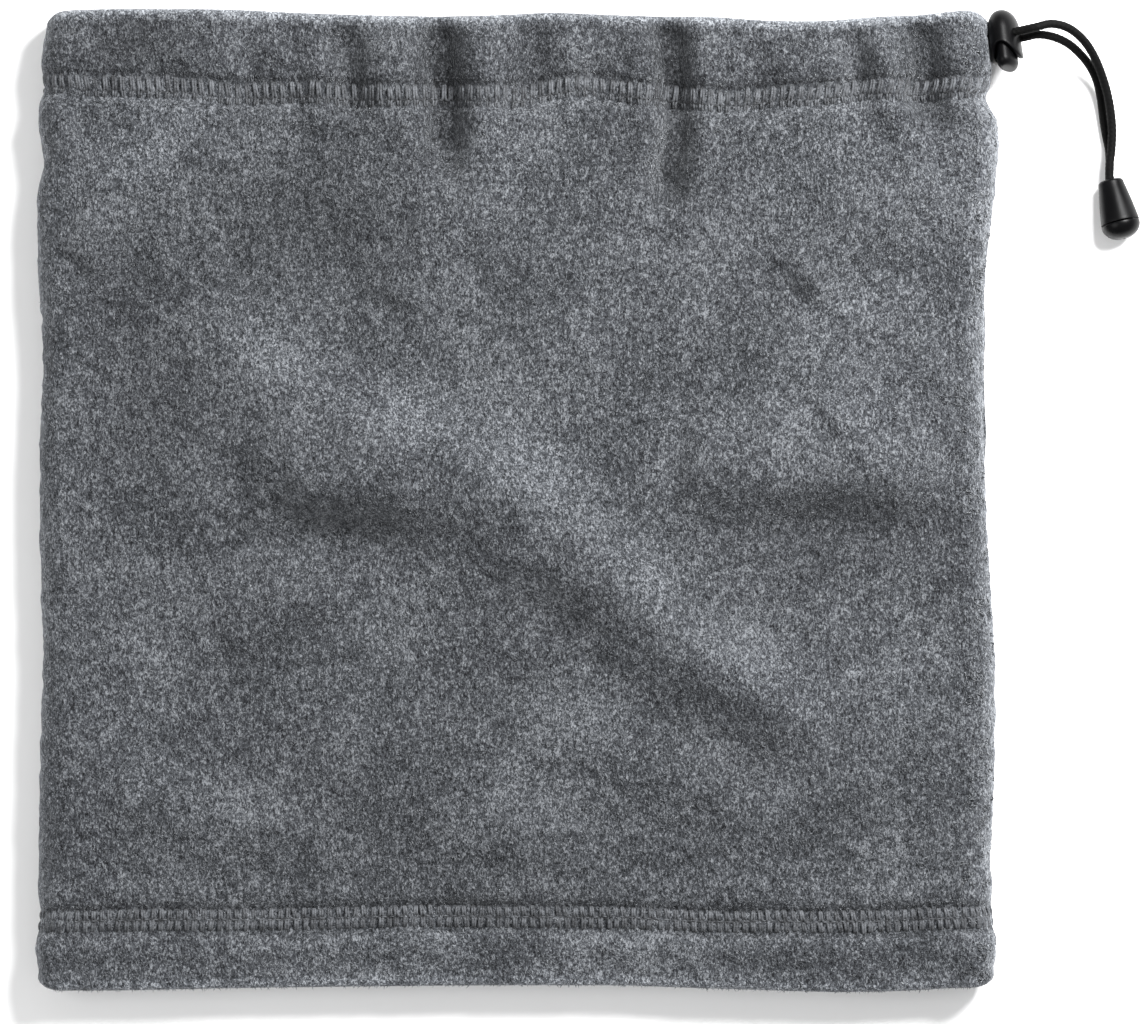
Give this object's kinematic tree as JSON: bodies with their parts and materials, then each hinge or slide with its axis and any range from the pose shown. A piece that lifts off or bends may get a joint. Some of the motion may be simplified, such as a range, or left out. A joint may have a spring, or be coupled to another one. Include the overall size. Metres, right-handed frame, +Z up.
{
  "type": "neck gaiter",
  "caption": "Fleece neck gaiter lying flat: a tube of cloth with a drawcord casing, a spring cord lock and a bell-shaped cord end.",
  "frame": {"origin": "on the surface the gaiter lies on, under the middle of the fleece tube", "axes": "+X across the tube towards the cord lock, +Y from the lower hem to the drawcord casing, +Z up through both layers of cloth"},
  "size_m": [0.2996, 0.2655, 0.0181],
  "materials": {
    "fleece": "brushed mid-grey polyester fleece with a soft short pile",
    "sewing_thread": "grey polyester overlock thread",
    "elastic_cord": "black braided elastic cord",
    "black_plastic": "satin moulded black plastic",
    "spring_wire": "drawn spring wire"
  },
  "bodies": {
    "gaiter": {"fleece_body": "fleece", "top_casing": "fleece", "bottom_hem": "fleece", "side_seam_allowance": "fleece", "top_hem_thread": "sewing_thread", "bottom_hem_thread": "sewing_thread", "side_seam_thread": "sewing_thread", "drawcord_in_casing": "elastic_cord", "cord_strand_upper": "elastic_cord", "cord_strand_lower": "elastic_cord", "cord_knot": "elastic_cord", "bell_cone": "black_plastic", "bell_cap": "black_plastic"},
    "lock": {"lock_barrel": "black_plastic", "lock_spring": "spring_wire"},
    "plunger": {"lock_plunger": "black_plastic"}
  },
  "joints": [
    {"name": "lock_slide", "type": "slide", "parent": "gaiter", "child": "lock", "axis": [0.9354, 0.1988, 0.2924], "range_m": [0, 0.004]},
    {"name": "plunger_press", "type": "slide", "parent": "lock", "child": "plunger", "axis": [-0.0976, 0.9399, -0.3271], "range_m": [0, 0.002], "stiffness_N_per_m": 600, "springref_m": -0.002, "deforming": ["lock_spring"]}
  ]
}
